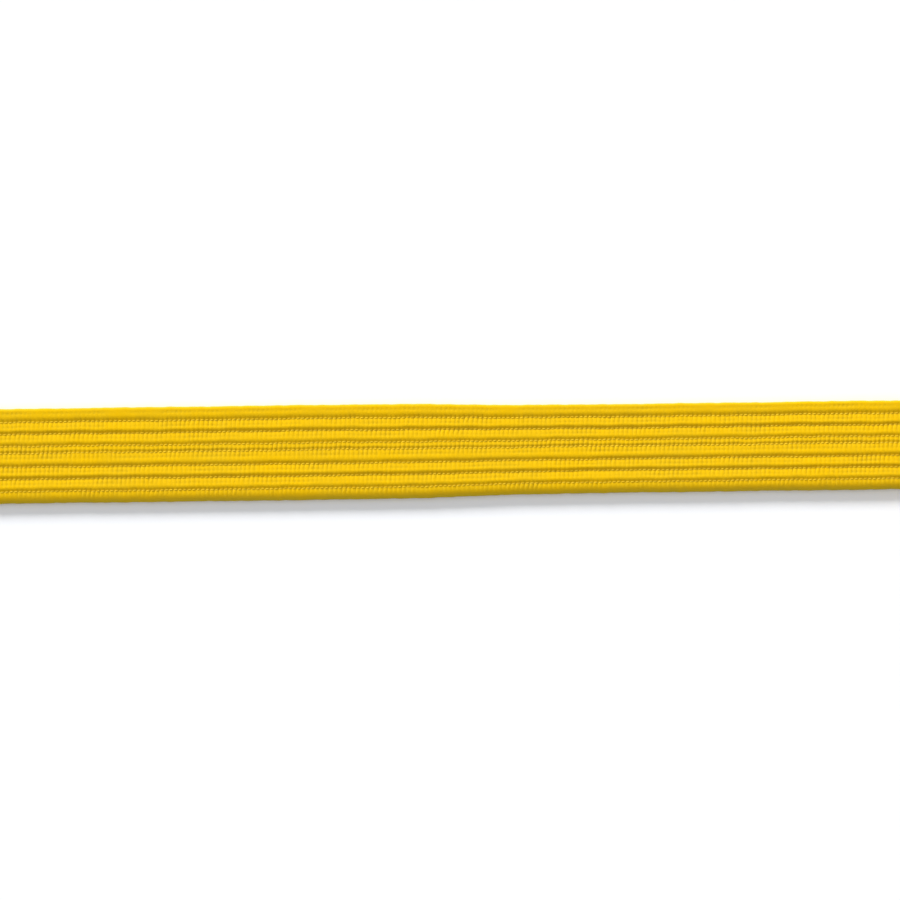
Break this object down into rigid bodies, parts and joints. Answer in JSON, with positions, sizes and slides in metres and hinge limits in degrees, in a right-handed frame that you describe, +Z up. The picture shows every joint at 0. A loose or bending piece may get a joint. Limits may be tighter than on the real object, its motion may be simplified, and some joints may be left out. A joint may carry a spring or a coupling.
{
  "type": "martial arts belt",
  "caption": "Stitched cotton martial arts belt, laid out flat at one tip and rolled up at the other, worn wrapped round the waist and knotted over a training uniform.",
  "frame": {"origin": "on the surface that the belt lies on, under the middle of the whole object", "axes": "+X along the flat stretch from its tip towards the roll, +Y across the belt, +Z up out of the belt's face"},
  "size_m": [0.5832, 0.04, 0.1224],
  "materials": {
    "cover_cloth": "matte twill",
    "sewing_thread": "satin thread",
    "core_cotton": "matte"
  },
  "bodies": {
    "root": {"cover": "cover_cloth", "core_ply_1": "core_cotton", "core_ply_2": "core_cotton", "core_ply_3": "core_cotton", "core_ply_4": "core_cotton", "needle_thread_1": "sewing_thread", "needle_thread_2": "sewing_thread", "needle_thread_3": "sewing_thread", "needle_thread_4": "sewing_thread", "needle_thread_5": "sewing_thread", "needle_thread_6": "sewing_thread", "needle_thread_7": "sewing_thread", "bobbin_thread_1": "sewing_thread", "bobbin_thread_2": "sewing_thread", "bobbin_thread_3": "sewing_thread", "bobbin_thread_4": "sewing_thread", "bobbin_thread_5": "sewing_thread", "bobbin_thread_6": "sewing_thread", "bobbin_thread_7": "sewing_thread", "outer_tip_box_face": "sewing_thread", "outer_tip_box_back": "sewing_thread", "inner_tip_box_face": "sewing_thread", "inner_tip_box_back": "sewing_thread"}
  },
  "joints": []
}
